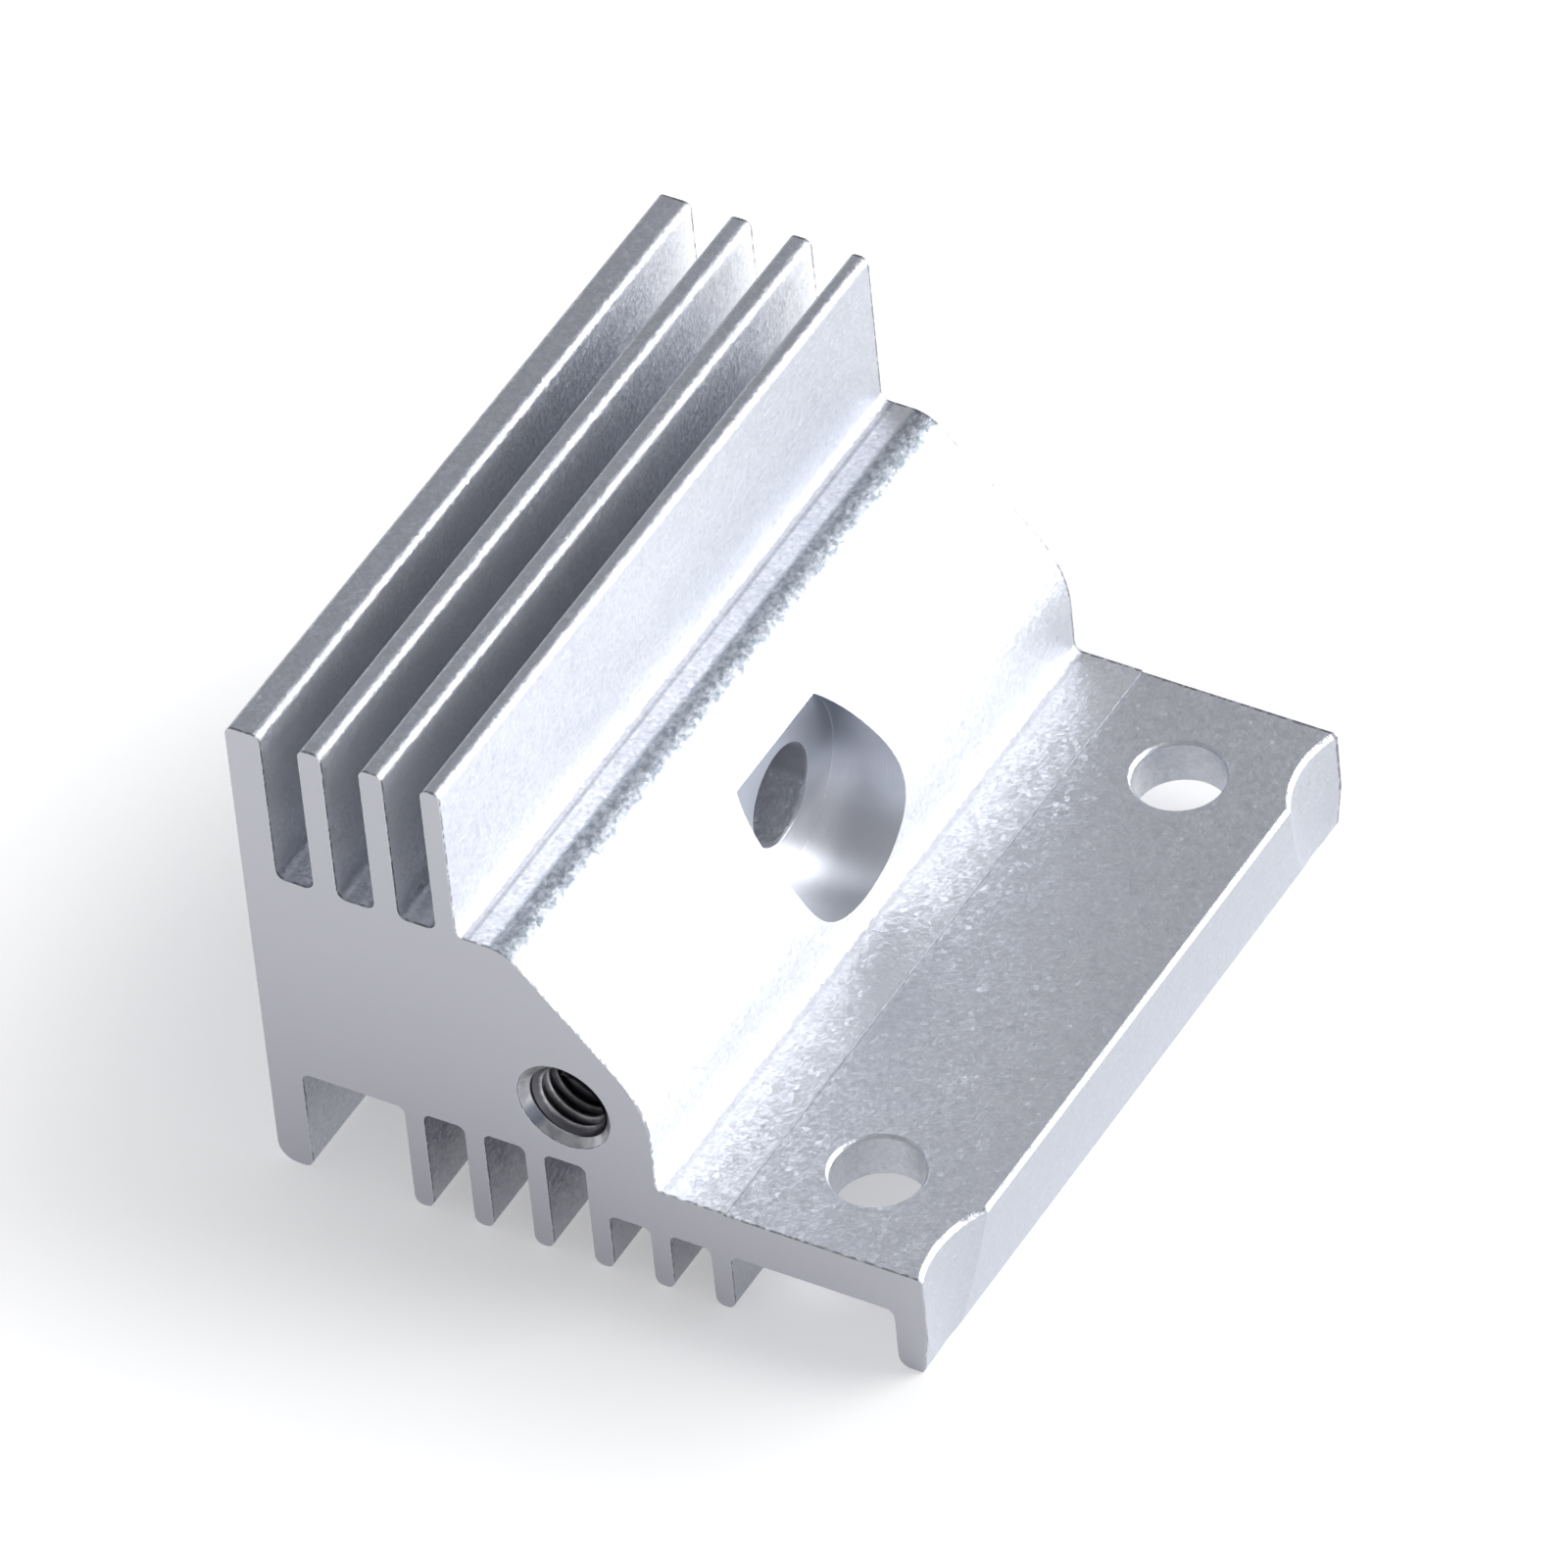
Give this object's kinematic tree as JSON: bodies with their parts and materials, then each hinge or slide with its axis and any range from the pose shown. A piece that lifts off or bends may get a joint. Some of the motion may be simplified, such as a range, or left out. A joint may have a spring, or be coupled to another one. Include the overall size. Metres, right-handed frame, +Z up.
{
  "type": "heat sink",
  "caption": "Extruded aluminium heat sink with fins above and below a solid core, a drilled flange with a lip, a tapped end hole and a counterbored cross hole.",
  "frame": {"origin": "middle of the bottom of the overall box, on the plane of the lower fin tips", "axes": "+Y along the extrusion, away from the tapped end; +Z up, from the lower fin tips to the top of the tall wall; +X from the tall wall to the lip of the flange"},
  "size_m": [0.0348, 0.04, 0.027],
  "materials": {
    "aluminium": "satin, bead blasted"
  },
  "bodies": {
    "root": {"heat_sink": "aluminium"}
  },
  "joints": []
}
